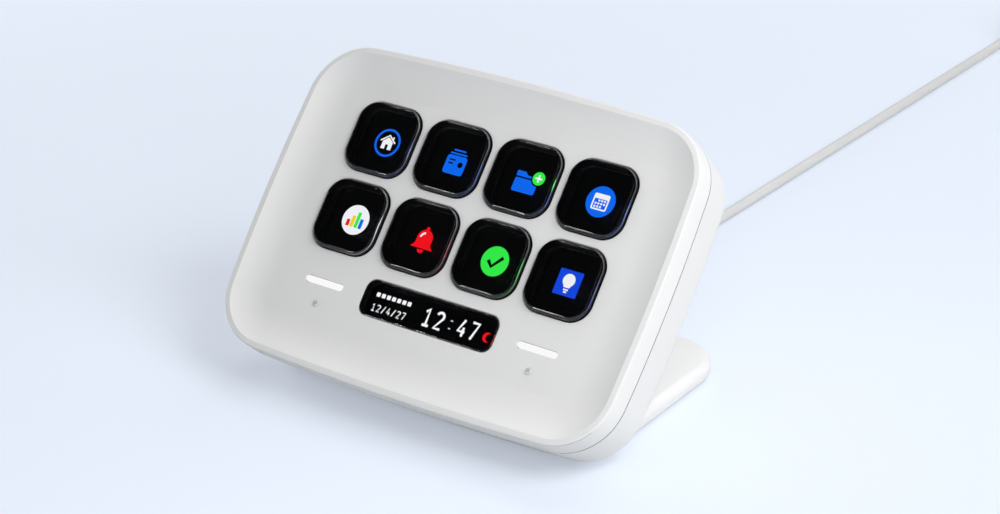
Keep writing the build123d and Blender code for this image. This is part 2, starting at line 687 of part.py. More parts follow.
def corner_radii(route):
    """The largest even arc at each corner of a route, from its shorter run."""
    points = [Vector(*point) for point in route]
    radii = []
    for before, here, after in zip(points, points[1:], points[2:]):
        run_in = here - before
        run_out = after - here
        half_turn = radians(run_in.get_angle(run_out)) / 2
        radii.append(bend_share * min(run_in.length, run_out.length) / tan(half_turn))
    return radii


def cable_tube(route):
    """A round tube along straight runs joined by tangent arcs."""
    radii = corner_radii(route)
    print("cable radii", [round(radius, 1) for radius in radii])
    with BuildLine() as line:
        FilletPolyline(*route, radius=radii)
    path = line.wires()[0]
    with BuildPart() as tube:
        with BuildSketch(Plane(origin=path @ 0, z_dir=path % 0)):
            Circle(cable_r)
        sweep(path=path)
    share = tube.part.volume / (cable_r**2 * pi * path.length)
    print("cable length", round(path.length, 1), "volume share", round(share, 4))
    return tube.part


with BuildPart() as usb_cable:
    add(cable_tube(lead_route))
    add(cable_tube(tail_route))
save(usb_cable.part, "usb_cable")

# Cable coil: the outer shape of the wound turns, and the tie that holds them
with BuildPart() as cable_coil:
    with BuildSketch(Plane(origin=(coil_x, coil_y, 0), x_dir=(1, 0, 0), z_dir=(0, -1, 0))):
        with Locations((coil_mid_r, coil_lift + coil_h / 2)):
            RectangleRounded(coil_w, coil_h, cable_r - coil_edge_gap)
    revolve(axis=Axis((coil_x, coil_y, 0), (0, 0, 1)), revolution_arc=360)
save(cable_coil.part, "cable_coil")

with BuildPart() as cable_tie:
    with BuildSketch(Plane(origin=(coil_x, coil_y, 0), x_dir=(0, 1, 0), z_dir=(1, 0, 0))):
        with Locations((coil_mid_r, coil_lift + coil_h / 2)):
            RectangleRounded(coil_w + 3 * tie_t, coil_h + 2 * coil_lift, cable_r)
    extrude(amount=tie_w / 2, both=True)
    add(cable_coil.part, mode=Mode.SUBTRACT)
save(cable_tie.part, "cable_tie")

# Plug: moulded body, metal shell and the insulating tongue inside it
plug_back = Plane(origin=(plug_x, plug_back_y, plug_h / 2), x_dir=(1, 0, 0), z_dir=(0, -1, 0))
with BuildPart() as plug_body:
    with BuildSketch(plug_back.offset(plug_nose)):
        RectangleRounded(plug_w, plug_h, plug_r)
    extrude(amount=plug_len)
    with BuildSketch(plug_back.offset(plug_nose)):
        RectangleRounded(plug_nose_w * 2, plug_nose_w, plug_r)
    with BuildSketch(plug_back):
        RectangleRounded(plug_nose_w, cable_d + 2 * plug_nose_wall, cable_r)
    loft()
plug_mouth = plug_back.offset(plug_nose + plug_len)
save(plug_body.part, "usb_plug_body")

with BuildPart() as plug_shell:
    with BuildSketch(plug_mouth):
        RectangleRounded(plug_shell_w, plug_shell_h, plug_shell_r)
        RectangleRounded(
            plug_shell_w - 2 * plug_shell_t,
            plug_shell_h - 2 * plug_shell_t,
            plug_shell_r - plug_shell_t,
            mode=Mode.SUBTRACT,
        )
    extrude(amount=plug_shell_len)
save(plug_shell.part, "usb_plug_shell")

with BuildPart() as plug_tongue:
    with BuildSketch(plug_mouth):
        with Locations((0, (plug_shell_h - plug_tongue_t) / 2 - plug_shell_t)):
            Rectangle(plug_shell_w - 2 * plug_shell_r, plug_tongue_t)
    extrude(amount=plug_shell_len - plug_tongue_back)
save(plug_tongue.part, "usb_plug_tongue")
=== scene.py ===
import json
from math import cos, pi, radians, sin

import bpy
from mathutils import Matrix, Vector


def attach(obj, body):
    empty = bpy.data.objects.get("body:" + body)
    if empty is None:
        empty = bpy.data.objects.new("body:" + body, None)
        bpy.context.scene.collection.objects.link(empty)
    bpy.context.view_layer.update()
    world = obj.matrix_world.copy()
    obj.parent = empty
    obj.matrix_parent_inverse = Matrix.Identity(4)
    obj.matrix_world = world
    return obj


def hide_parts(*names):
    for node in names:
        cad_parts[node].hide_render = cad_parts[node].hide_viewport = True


# A pale desk keypad with clear picture keys over one display, on a flat foot, with its cable.
# Metres, in the frame of the solids. Sizes on the face are written in millimetres and times MM.
# The face has its own axes: x to the right, y up along the face, z out of it, from the middle of
# the key grid at the level of the flat bed. Heights in the materials are in its millimetres too.

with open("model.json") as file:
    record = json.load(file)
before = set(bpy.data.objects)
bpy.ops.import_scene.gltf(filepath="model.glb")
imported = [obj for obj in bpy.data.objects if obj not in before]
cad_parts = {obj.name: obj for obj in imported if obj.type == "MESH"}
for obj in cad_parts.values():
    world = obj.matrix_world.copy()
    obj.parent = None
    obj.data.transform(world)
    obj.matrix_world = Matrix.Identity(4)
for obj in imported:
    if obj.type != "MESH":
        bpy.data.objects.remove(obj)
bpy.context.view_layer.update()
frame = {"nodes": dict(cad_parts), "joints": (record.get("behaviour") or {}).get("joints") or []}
nodes = frame["nodes"]
MM = 0.001
KEYS = range(1, 9)
CASE = "case"


# ---------------------------------------------------------------- the camera and the face's axes

CAMERA_SPOT = (0.3104, -0.44151, 0.28581)
CAMERA_AIM = (-0.5152, 0.7431, -0.4271)
CAMERA_LENS = 93.89
CAMERA_SENSOR = 36.0
CAMERA_REACH = 20.0


def make_camera():
    """The camera, at the photograph's angle."""
    data = bpy.data.cameras.new("camera")
    data.lens = CAMERA_LENS
    data.sensor_width = CAMERA_SENSOR
    data.clip_end = CAMERA_REACH
    camera = bpy.data.objects.new("camera", data)
    camera.location = CAMERA_SPOT
    camera.rotation_euler = Vector(CAMERA_AIM).to_track_quat("-Z", "Y").to_euler()
    bpy.context.scene.collection.objects.link(camera)
    bpy.context.scene.camera = camera


KEY_PROUD = 1.1 * MM  # the keys' tops stand above the bed

out_of_face = -Vector(frame["joints"][0]["axis"]).normalized()
along_x = Vector((1, 0, 0))
up_face = out_of_face.cross(along_x)
turn = Matrix((along_x, up_face, out_of_face))


def extent(names, rows):
    """Lowest and highest corner of CAD nodes along the three directions in rows."""
    points = [rows @ v.co for name in names for v in nodes[name].data.vertices]
    low = Vector(min(p[i] for p in points) for i in range(3))
    high = Vector(max(p[i] for p in points) for i in range(3))
    return low, high


grid_low, grid_high = extent([f"key_cap_{n}" for n in KEYS], turn)
grid_mid = (grid_low + grid_high) / 2
grid_mid.z = grid_high.z - KEY_PROUD
face_spot = turn.transposed() @ grid_mid
face = Matrix.Translation(face_spot) @ turn.transposed().to_4x4()


def face_box(name):
    """Lowest and highest corner of a CAD node in the face's axes."""
    low, high = extent([name], turn)
    return low - grid_mid, high - grid_mid


def key_spot(number):
    """The middle of a key on the face."""
    low, high = face_box(f"key_cap_{number}")
    return (low + high) / 2


# ---------------------------------------------------------------- the cable's route

CABLE_D = 2.8
LEAD_ROUTE = [
    (0, 10.492, 8.0),
    (0, 23.0, 8.0),
    (-0.2, 37.5, 7.3),
    (0.1, 53.0, 3.2),
    (0.4, 69.8, 1.4),
    (0.9, 86.3, 1.42),
    (6.05, 250.5, 1.6),
    (6.5, 265.0, 1.6),
    (7.0, 278.48, 2.1),
]
TAIL_ROUTE = [
    (46.0, 278.48, 10.8),
    (46.4, 270.0, 9.2),
    (47.2, 261.0, 5.2),
    (47.2, 255.0, 3.8),
    (47.2, 250.0, 3.8),
]
COIL_SPOT = (26.5, 286.0, 2.1)
COIL_MID_R = 16.6
COIL_STEP = 2.9
COIL_TURNS = 11.5
COIL_POINTS = 24        # for each turn
COIL_COLUMNS = 3        # turns side by side in each layer
CABLE_SMOOTH = 6        # how finely the cable's curve is drawn
SHIFT_FROM = 190        # degrees round the coil where the last turn moves to its next place
SHIFT_LAG = 12          # each turn before it moves this much later
SHIFT_WIDTH = 40


def turn_place(turn_number):
    """Place of a turn in the coil: steps outward from the middle turn, and layers up."""
    layer, column = divmod(turn_number, COIL_COLUMNS)
    across = 1 - column if layer % 2 == 0 else column - 1
    return across, layer


def coil_point(step):
    """A point of the coil: each turn keeps its place, then shifts to the place of the next."""
    number, part = divmod(step, COIL_POINTS)
    angle = 360 * part / COIL_POINTS
    start = SHIFT_FROM + SHIFT_LAG * (int(COIL_TURNS) - 1 - number)
    share = min(max((angle - start) / SHIFT_WIDTH, 0), 1)
    share = share * share * (3 - 2 * share)
    here = turn_place(number)
    after = turn_place(number + 1)
    across = here[0] + (after[0] - here[0]) * share
    layer = here[1] + (after[1] - here[1]) * share
    radius = COIL_MID_R + across * COIL_STEP
    x = COIL_SPOT[0] - radius * cos(radians(angle))
    y = COIL_SPOT[1] + radius * sin(radians(angle))
    return x, y, COIL_SPOT[2] + layer * COIL_STEP


def make_cable():
    """The cable as one curve, from the strain relief round the coil to the plug."""
    steps = int(COIL_TURNS * COIL_POINTS)
    route = LEAD_ROUTE + [coil_point(step) for step in range(steps + 1)] + TAIL_ROUTE
    data = bpy.data.curves.new("usb_lead", "CURVE")
    data.dimensions = "3D"
    data.bevel_depth = CABLE_D / 2 * MM
    data.bevel_resolution = CABLE_SMOOTH
    data.resolution_u = CABLE_SMOOTH
    data.use_fill_caps = True
    spline = data.splines.new("NURBS")
    spline.points.add(len(route) - 1)
    for point, (x, y, z) in zip(spline.points, route):
        point.co = (x * MM, y * MM, z * MM, 1)
    spline.order_u = 3
    spline.use_endpoint_u = True
    lead = bpy.data.objects.new("usb_lead", data)
    bpy.context.scene.collection.objects.link(lead)
    data.materials.append(cable_jacket())
    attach(lead, CASE)
    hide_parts("usb_cable", "cable_coil")
    return lead


# ---------------------------------------------------------------- materials

SHELL_SHADE = 0.80
SHELL_VARY = 0.015      # the shells' plastic is lighter and darker by this share in soft patches
PATCH_DETAIL = 3.0
ACRYLIC_IOR = 1.49


def grey(shade, tint=(1, 1, 1)):
    """A grey of that linear shade, with a slight tint."""
    return tuple(shade * part for part in tint) + (1,)


def plain(name, colour, rough, metal=0.0):
    """A new material with its shader, which the callers refine."""
    made = bpy.data.materials.new(name)
    made.use_nodes = True
    shader = shader_of(made)
    shader.inputs["Base Color"].default_value = colour
    shader.inputs["Roughness"].default_value = rough
    shader.inputs["Metallic"].default_value = metal
    return made


def shader_of(made):
    """The main shader of a material."""
    return made.node_tree.nodes["Principled BSDF"]


def add_node(made, kind, **values):
    """A node in a material, with its properties set."""
    node = made.node_tree.nodes.new(kind)
    for name, value in values.items():
        setattr(node, name, value)
    return node


def link(made, source, target):
    made.node_tree.links.new(source, target)


def noise(made, size, detail=2.0, stretch=(1, 1, 1)):
    """Noise with lumps of about that size in metres, fixed to the piece."""
    place = add_node(made, "ShaderNodeTexCoord")
    mapping = add_node(made, "ShaderNodeMapping")
    mapping.inputs["Scale"].default_value = stretch
    texture = add_node(made, "ShaderNodeTexNoise")
    texture.inputs["Scale"].default_value = 1 / size
    texture.inputs["Detail"].default_value = detail
    link(made, place.outputs["Object"], mapping.inputs["Vector"])
    link(made, mapping.outputs["Vector"], texture.inputs["Vector"])
    return texture.outputs["Fac"]


def spread(made, value, low, high):
    """A value from 0 to 1, spread from low to high."""
    node = add_node(made, "ShaderNodeMapRange")
    node.inputs["To Min"].default_value = low
    node.inputs["To Max"].default_value = high
    link(made, value, node.inputs["Value"])
    return node.outputs["Result"]


def grain(made, size, depth, detail=2.0, stretch=(1, 1, 1)):
    """Fine relief on the surface, with lumps of that size and depth in metres."""
    bump = add_node(made, "ShaderNodeBump")
    bump.inputs["Distance"].default_value = depth
    link(made, noise(made, size, detail, stretch), bump.inputs["Height"])
    link(made, bump.outputs["Normal"], shader_of(made).inputs["Normal"])


def mottle(made, size, colour_a, colour_b):
    """Soft patches of two colours."""
    mix = add_node(made, "ShaderNodeMix", data_type="RGBA")
    mix.inputs["A"].default_value = colour_a
    mix.inputs["B"].default_value = colour_b
    link(made, noise(made, size, PATCH_DETAIL), mix.inputs["Factor"])
    link(made, mix.outputs["Result"], shader_of(made).inputs["Base Color"])


def rough_patches(made, size, low, high):
    """Roughness that varies softly over the surface."""
    patches = spread(made, noise(made, size, PATCH_DETAIL), low, high)
    link(made, patches, shader_of(made).inputs["Roughness"])


def face_place(made):
    """Coordinates in the face's axes, in millimetres, split into x, y and z."""
    place = add_node(made, "ShaderNodeTexCoord")
    mapping = add_node(made, "ShaderNodeMapping", vector_type="TEXTURE")
    mapping.inputs["Location"].default_value = face.translation
    mapping.inputs["Rotation"].default_value = face.to_euler()
    mapping.inputs["Scale"].default_value = (MM, MM, MM)
    parts = add_node(made, "ShaderNodeSeparateXYZ")
    link(made, place.outputs["Object"], mapping.inputs["Vector"])
    link(made, mapping.outputs["Vector"], parts.inputs["Vector"])
    return parts.outputs["X"], parts.outputs["Y"], parts.outputs["Z"]


def maths(made, operation, first, second):
    """A maths node on two values, each a socket or a number."""
    node = add_node(made, "ShaderNodeMath", operation=operation)
    for index, value in enumerate((first, second)):
        if isinstance(value, (int, float)):
            node.inputs[index].default_value = value
        else:
            link(made, value, node.inputs[index])
    return node.outputs[0]


def moulded(name, shade=SHELL_SHADE, tint=(1, 1, 1)):
    """Matte moulded plastic with a fine spark-eroded grain."""
    made = plain(name, grey(shade, tint), rough=0.5)
    darker = grey(shade * (1 - SHELL_VARY), tint)
    lighter = grey(shade * (1 + SHELL_VARY), tint)
    mottle(made, 0.03, darker, lighter)
    rough_patches(made, size=0.004, low=0.46, high=0.56)
    grain(made, size=0.00022, depth=0.000012)
    return made


WELL = (-3.36, -0.35)   # the wells and openings in the bed are black between these heights
WELL_ACROSS = (-39.5, 39.5)    # across the face, round all the openings
WELL_UP = (-34.0, 20.0)        # and up it
SEAM = (-3.72, -3.37)   # the shadow line between the shells lies between these heights
RIM_SHADOW_LINE = (1.72, 1.90)  # a painted shadow line under the rim, along the body's lower side
RIM_SHADOW_TOP = -40.0    # which ends this far up the face
UPRIGHT = 0.2           # a surface stands on the face if it leans less than this
CONTACT_SHADOW = 0.5           # painted contact shadow: the foot is dark this far above the desk


def between(made, value, low, high):
    """1 where a value lies between two limits."""
    above = maths(made, "GREATER_THAN", value, low)
    below = maths(made, "LESS_THAN", value, high)
    return maths(made, "MULTIPLY", above, below)


def tint_where(made, share, colour):
    """Gives a material another colour where share is 1."""
    shader = shader_of(made)
    mix = add_node(made, "ShaderNodeMix", data_type="RGBA")
    mix.inputs["B"].default_value = colour
    link(made, share, mix.inputs["Factor"])
    link(made, shader.inputs["Base Color"].links[0].from_socket, mix.inputs["A"])
    link(made, mix.outputs["Result"], shader.inputs["Base Color"])


def facing(made):
    """1 where a surface lies along the face, 0 where it stands on it."""
    surface = add_node(made, "ShaderNodeNewGeometry")
    product = add_node(made, "ShaderNodeVectorMath", operation="DOT_PRODUCT")
    product.inputs[1].default_value = out_of_face
    link(made, surface.outputs["True Normal"], product.inputs[0])
    return maths(made, "ABSOLUTE", product.outputs["Value"], 0)


def foot_plastic():
    """The foot's plastic, with a painted contact shadow, a dark band where it meets the desk."""
    made = moulded("white_foot")
    place = add_node(made, "ShaderNodeTexCoord")
    parts = add_node(made, "ShaderNodeSeparateXYZ")
    link(made, place.outputs["Object"], parts.inputs[0])
    # painted contact shadow: the foot's lowest band is darkened where it meets the desk
    low = maths(made, "LESS_THAN", parts.outputs["Z"], CONTACT_SHADOW * MM)
    tint_where(made, low, grey(0.12))
    return made


def shell_plastic(name):
    """The shells' plastic, with a dark seam, a painted shadow line under the rim on the lower side,
    and black inside the wells and openings of the bed.
    """
    made = moulded(name)
    x, y, z = face_place(made)
    tint_where(made, between(made, z, *SEAM), grey(0.2))
    # painted shade: a dark line on the flank just under the rim, on the body's lower side only
    flank = maths(made, "LESS_THAN", facing(made), UPRIGHT)
    low_side = maths(made, "LESS_THAN", y, RIM_SHADOW_TOP)
    line = maths(made, "MULTIPLY", flank, between(made, z, *RIM_SHADOW_LINE))
    tint_where(made, maths(made, "MULTIPLY", line, low_side), grey(0.3))
    deep = between(made, z, *WELL)
    near_x = between(made, x, *WELL_ACROSS)
    near_y = between(made, y, *WELL_UP)
    inside = maths(made, "MULTIPLY", deep, maths(made, "MULTIPLY", near_x, near_y))
    tint_where(made, inside, grey(0.004))
    return made


KEY_PAINT = (-3.2, 0.62)  # a key is painted black between these heights, round its clear top
LENS_PAINT = (-4.35, -0.1)  # and the info window's lens between these


def clear_plastic(name, painted_from, painted_to):
    """Clear polished acrylic, with a side that is painted black between two heights."""
    made = plain(name, (1, 1, 1, 1), rough=0.0)
    shader = shader_of(made)
    shader.inputs["IOR"].default_value = ACRYLIC_IOR
    mottle(made, 0.01, (1, 1, 1, 1), (0.985, 0.99, 1, 1))
    height = face_place(made)[2]
    painted = between(made, height, painted_from, painted_to)
    hidden = between(made, height, painted_from, WELL[1])
    polish = spread(made, noise(made, 0.002, PATCH_DETAIL), low=0.0, high=0.02)
    link(made, maths(made, "MAXIMUM", polish, hidden), shader.inputs["Roughness"])
    link(made, spread(made, painted, 1, 0), shader.inputs["Transmission Weight"])
    tint_where(made, painted, grey(0.003))
    return made


def lit(name, colour, strength=1.0):
    """A colour that shines by itself, as a display's pictures do."""
    made = plain(name, (0, 0, 0, 1), rough=0.4)
    shader = shader_of(made)
    shader.inputs["Specular IOR Level"].default_value = 0.0
    shader.inputs["Emission Color"].default_value = colour
    shader.inputs["Emission Strength"].default_value = strength
    return made


def cable_jacket():
    """The cable's smooth light grey jacket."""
    made = plain("cable_jacket", grey(0.66), rough=0.42)
    mottle(made, 0.02, grey(0.64), grey(0.69))
    grain(made, size=0.0004, depth=0.00001)
    return made


def brushed(name, shade, stretch=(1, 20, 20)):
    """Metal with fine brush marks."""
    made = plain(name, grey(shade), rough=0.3, metal=1.0)
    rough_patches(made, size=0.003, low=0.22, high=0.38)
    grain(made, size=0.0006, depth=0.000004, detail=3.0, stretch=stretch)
    return made


def give(material, *names):
    """Puts one material on CAD nodes."""
    for name in names:
        data = nodes[name].data
        data.materials.clear()
        data.materials.append(material)


def dress_outside():
    """Materials of the CAD nodes that show from outside."""
    give(shell_plastic("white_shell"), "front_shell")
    give(shell_plastic("white_rear"), "rear_shell")
    give(foot_plastic(), "stand_foot")
    give(clear_plastic("clear_key", *KEY_PAINT), *[f"key_cap_{n}" for n in KEYS])
    give(clear_plastic("clear_lens", *LENS_PAINT), "info_lens")
    give(lit("light_guide", grey(0.95)), "light_bar_left", "light_bar_right")
    pip = plain("pip", grey(0.75), rough=0.2, metal=0.35)
    rough_patches(pip, size=0.0005, low=0.2, high=0.32)
    give(pip, "touch_pip_left", "touch_pip_right")
    give(brushed("screw_steel", 0.4), "shell_screws", "board_screws", "post_screws", "stand_screws")
    rubber = plain("foot_rubber", grey(0.28), rough=0.85)
    mottle(rubber, 0.01, grey(0.26), grey(0.3))
    grain(rubber, size=0.0006, depth=0.00005)
    give(rubber, "foot_pad")


def dress_soft_parts():
    """Materials of the soft parts and boards inside."""
    foam = plain("foam", grey(0.03), rough=0.9)
    grain(foam, size=0.0003, depth=0.0001)
    give(foam, "touch_pad_left", "touch_pad_right")
    silicone = plain("silicone", grey(0.004), rough=0.7)
    rough_patches(silicone, size=0.002, low=0.6, high=0.8)
    give(silicone, "key_membrane")
    board = plain("board", grey(0.004), rough=0.45)
    mottle(board, 0.003, grey(0.003), grey(0.006))
    give(board, "key_board", "main_board")
    film = plain("flex_film", (0.5, 0.2, 0.02, 1), rough=0.3)
    rough_patches(film, size=0.002, low=0.2, high=0.4)
    give(film, "display_flex")


def dress_electronics():
    """Materials of the display, the chips, the connectors and the metal inside."""
    give(lit("led", (1.0, 0.95, 0.8, 1)), "bar_leds")
    glass = plain("display_glass", grey(0.001), rough=0.06)
    rough_patches(glass, size=0.01, low=0.04, high=0.08)
    give(glass, "display_panel")
    give(moulded("backlight_frame"), "display_backlight")
    give(brushed("sheet_metal", 0.55), "display_bracket")
    ivory = plain("ivory", grey(0.6, (1, 0.95, 0.82)), rough=0.5)
    rough_patches(ivory, size=0.001, low=0.4, high=0.6)
    give(ivory, "display_connector", "board_link", "cable_header")
    chip = plain("chip", grey(0.02), rough=0.55)
    grain(chip, size=0.0001, depth=0.00001)
    give(chip, "controller_chip", "memory_chip", "power_regulator")
    give(brushed("tin", 0.6), "clock_crystal")
    give(brushed("ballast_steel", 0.35), "ballast_plate")


def dress_cable():
    """Materials of the cable's own parts; its jacket is given where it is made."""
    boot = plain("boot", grey(0.6), rough=0.55)
    grain(boot, size=0.0004, depth=0.00002)
    give(boot, "strain_relief")
    wires = plain("wires", grey(0.3), rough=0.6)
    grain(wires, size=0.0005, depth=0.0001)
    give(wires, "cable_wires")
    tape = plain("tie", grey(0.03), rough=0.95)
    grain(tape, size=0.0003, depth=0.0001)
    give(tape, "cable_tie")
    give(moulded("plug_body", 0.6), "usb_plug_body")
    give(brushed("plug_metal", 0.6), "usb_plug_shell")
    tongue = plain("plug_tongue", grey(0.01), rough=0.5)
    rough_patches(tongue, size=0.001, low=0.4, high=0.6)
    give(tongue, "usb_plug_tongue")


# ---------------------------------------------------------------- the display's pictures

PICTURE_LIFT = 0.03     # millimetres above the display
PICTURE_DEPTH = 0.02
PICTURE_SIZE = 0.91     # of a key's picture, as it is drawn below
PICTURE_SHIFT = (-0.45, 0.15)
BLUE = (0.004, 0.145, 0.90, 1)
DEEP_BLUE = (0.007, 0.065, 0.75, 1)
RED = (0.93, 0.006, 0.012, 1)
GREEN = (0.035, 0.87, 0.07, 1)
YELLOW = (0.95, 0.65, 0.01, 1)
WHITE = (0.93, 0.95, 0.97, 1)
BLACK = (0.001, 0.001, 0.0012, 1)
DISC_R = 4.0
DISC_STEPS = 64
screen_z = face_box("display_panel")[1].z


def circle(radius, x=0.0, y=0.0, first=0.0, last=360.0, steps=DISC_STEPS):
    """Points round a circle, or along a part of it, in degrees."""
    count = steps if last - first < 360 else steps - 1
    angles = [radians(first + (last - first) * i / steps) for i in range(count + 1)]
    return [(x + radius * cos(a), y + radius * sin(a)) for a in angles]


def slab(width, height, radius, x=0.0, y=0.0):
    """Points round a rectangle with rounded corners."""
    points = []
    corners = ((1, 1, 0), (-1, 1, 90), (-1, -1, 180), (1, -1, 270))
    for side, rise, start in corners:
        mid_x = x + side * (width / 2 - radius)
        mid_y = y + rise * (height / 2 - radius)
        points += circle(radius, mid_x, mid_y, start, start + 90, 6)
    return points


def flat_piece(name, place, layer, colour, *loops):
    """A thin lit shape on the display, in millimetres from place; a loop inside another is a hole."""
    data = bpy.data.curves.new(name, "CURVE")
    data.dimensions = "2D"
    data.fill_mode = "BOTH"
    data.extrude = PICTURE_DEPTH * MM / 2
    for loop in loops:
        spline = data.splines.new("POLY")
        spline.points.add(len(loop) - 1)
        for point, (x, y) in zip(spline.points, loop):
            point.co = (x * MM, y * MM, 0, 1)
        spline.use_cyclic_u = True
    settle(name, data, place, layer, colour)


def stroke_piece(name, place, layer, colour, width, *lines):
    """A lit shape of strokes with round ends on the display, in millimetres from place."""
    data = bpy.data.curves.new(name, "CURVE")
    data.dimensions = "3D"
    data.bevel_depth = width / 2 * MM
    data.bevel_resolution = 3
    data.use_fill_caps = True
    for line in lines:
        spline = data.splines.new("POLY")
        spline.points.add(len(line) - 1)
        for point, (x, y) in zip(spline.points, line):
            point.co = (x * MM, y * MM, 0, 1)
    settle(name, data, place, layer, colour, PICTURE_DEPTH / width)


def settle(name, data, place, layer, colour, flatten=1.0):
    """Turns a drawn shape into a mesh piece that lies on the display."""
    drawn = bpy.data.objects.new(name + "_drawn", data)
    bpy.context.scene.collection.objects.link(drawn)
    bpy.context.view_layer.update()
    mesh = bpy.data.meshes.new_from_object(drawn)
    bpy.data.objects.remove(drawn)
    height = PICTURE_LIFT * (1 + layer) * MM
    lift = Matrix.Translation((0, 0, height))
    mesh.transform(place @ lift @ Matrix.Diagonal((1, 1, flatten, 1)))
    mesh.name = name
    mesh.materials.clear()
    mesh.materials.append(colour)
    piece = bpy.data.objects.new(name, mesh)
    bpy.context.scene.collection.objects.link(piece)
    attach(piece, CASE)


def display_place(x=0.0, y=0.0, size=1.0):
    """A place on the display, in metres from the middle of the key grid, and the size there."""
    return face @ Matrix.Translation((x, y, screen_z)) @ Matrix.Diagonal((size, size, 1, 1))


DOORWAY = [(-0.42, -1.75), (-0.42, -0.45), (0.42, -0.45), (0.42, -1.75)]
HOUSE = [(-1.55, -1.75)] + DOORWAY + [(1.55, -1.75), (1.55, 0.35), (0, 1.55), (-1.55, 0.35)]
ROOF = [(-2.25, 0.25), (0, 2.05), (2.25, 0.25)]
CHIMNEY = [(1.35, 1.15), (1.35, 1.85)]


def draw_home(place, ink):
    flat_piece("home_ring", place, 0, ink["blue"], circle(3.8), circle(3.2))
    flat_piece("home_house", place, 0, ink["white"], HOUSE)
    stroke_piece("home_roof", place, 1, ink["white"], 0.4, ROOF, CHIMNEY)


def draw_cards(place, ink):
    card = slab(6.0, 5.0, 0.8, 0, -0.9)
    dot = circle(0.75, 1.45, -0.6)
    flat_piece("cards_front", place, 0, ink["blue"], card, dot)
    behind = slab(5.0, 0.42, 0.15, 0, 2.1)
    last = slab(3.6, 0.42, 0.15, 0, 3.0)
    flat_piece("cards_back", place, 0, ink["blue"], behind, last)
    long_line = [(-2.1, 0.35), (-0.3, 0.35)]
    short_line = [(-2.1, -0.6), (-0.7, -0.6)]
    stroke_piece("cards_lines", place, 1, ink["black"], 0.38, long_line, short_line)


def draw_folder(place, ink):
    tab = [(-3.6, 2.3), (-1.2, 2.3), (-0.3, 1.5), (2.6, 1.5), (2.6, 0.9), (-3.6, 0.9)]
    flat_piece("folder_back", place, 0, ink["blue"], tab)
    flat_piece("folder_front", place, 0, ink["blue"], slab(6.6, 3.6, 0.5, -0.3, -1.3))
    flat_piece("folder_gap", place, 1, ink["black"], circle(2.15, 2.9, 1.4))
    flat_piece("folder_badge", place, 2, ink["green"], circle(1.75, 2.9, 1.4))
    across = [(1.9, 1.4), (3.9, 1.4)]
    upright = [(2.9, 0.4), (2.9, 2.4)]
    stroke_piece("folder_plus", place, 3, ink["white"], 0.45, across, upright)


def draw_calendar(place, ink):
    flat_piece("calendar_disc", place, 0, ink["blue"], circle(DISC_R))
    page = slab(4.4, 4.2, 0.5, 0, -0.1)
    window = slab(3.6, 2.5, 0.2, 0, -0.55)
    flat_piece("calendar_page", place, 1, ink["white"], page, window)
    cells = [(-1.2 + 0.8 * column, 0.25 - 0.8 * row) for row in range(3) for column in range(4)]
    dots = [slab(0.5, 0.5, 0.1, x, y) for x, y in cells]
    flat_piece("calendar_days", place, 1, ink["white"], *dots[1:-1])


def draw_chart(place, ink):
    flat_piece("chart_disc", place, 0, ink["white"], circle(DISC_R))
    bars = (("red", 1.8), ("yellow", 3.0), ("green", 4.2), ("blue", 2.6))
    for number, (colour, rise) in enumerate(bars):
        x = -1.95 + 1.3 * number
        bar = slab(1.0, rise, 0.2, x, -2.0 + rise / 2)
        flat_piece(f"chart_bar_{number + 1}", place, 1, ink[colour], bar)


def draw_bell(place, ink):
    dome = circle(2.3, 0, 0.5, 0, 180, 24)
    flare = [(-2.3, -1.0), (-3.3, -2.2), (3.3, -2.2), (2.3, -1.0)]
    flat_piece("bell_body", place, 0, ink["red"], dome + flare)
    flat_piece("bell_clapper", place, 0, ink["red"], circle(0.95, 0, -2.5, 180, 360, 16))
    flat_piece("bell_knob", place, 0, ink["red"], circle(0.5, 0, 3.1))
    stroke_piece("bell_shine", place, 1, ink["white"], 0.5, circle(1.35, 0, 0.5, 100, 175, 8))


def draw_check(place, ink):
    flat_piece("check_disc", place, 0, ink["green"], circle(DISC_R - 0.1))
    stroke_piece("check_mark", place, 1, ink["black"], 0.95, [(-1.9, -0.1), (-0.5, -1.5), (2.0, 1.4)])


def draw_bulb(place, ink):
    flat_piece("bulb_square", place, 0, ink["deep_blue"], slab(6.6, 6.6, 0.25))
    globe = circle(1.7, 0, 0.7, -50, 230, 40)
    flat_piece("bulb_glass", place, 1, ink["white"], globe + [(-0.8, -1.2), (0.8, -1.2)])
    wide = [(-0.7, -1.75), (0.7, -1.75)]
    narrow = [(-0.45, -2.35), (0.45, -2.35)]
    stroke_piece("bulb_base", place, 1, ink["white"], 0.4, wide, narrow)


DIGITS = {  # strokes of each digit in a cell one wide and two high
    "1": [[(0.12, 1.55), (0.5, 1.95), (0.5, 0.05)], [(0.1, 0.05), (0.9, 0.05)]],
    "2": [circle(0.42, 0.5, 1.5, 165, 0, 10) + [(0.9, 1.3), (0.08, 0.05), (0.92, 0.05)]],
    "4": [[(0.62, 1.95), (0.05, 0.6), (0.95, 0.6)], [(0.7, 1.1), (0.7, 0.05)]],
    "7": [[(0.06, 1.95), (0.92, 1.95), (0.35, 0.05)]],
    ":": [[(0.5, 0.45), (0.5, 0.55)], [(0.5, 1.35), (0.5, 1.45)]],
    "/": [[(0.15, -0.05), (0.85, 2.05)]],
}


def digit_lines(text, x, y, width, height, step):
    """Strokes of a row of digits, from their lower left corner."""
    lines = []
    for place, digit in enumerate(text):
        left = x + place * step
        for line in DIGITS[digit]:
            lines.append([(left + px * width, y + py * height / 2) for px, py in line])
    return lines


TIME_ROW = {"x": -2.5, "y": -28.3, "width": 2.1, "height": 4.1, "step": 3.15}
DATE_ROW = {"x": -16.5, "y": -28.6, "width": 0.95, "height": 1.65, "step": 1.4}
DAY_BLOCKS = 7
DAY_STEP = 1.45


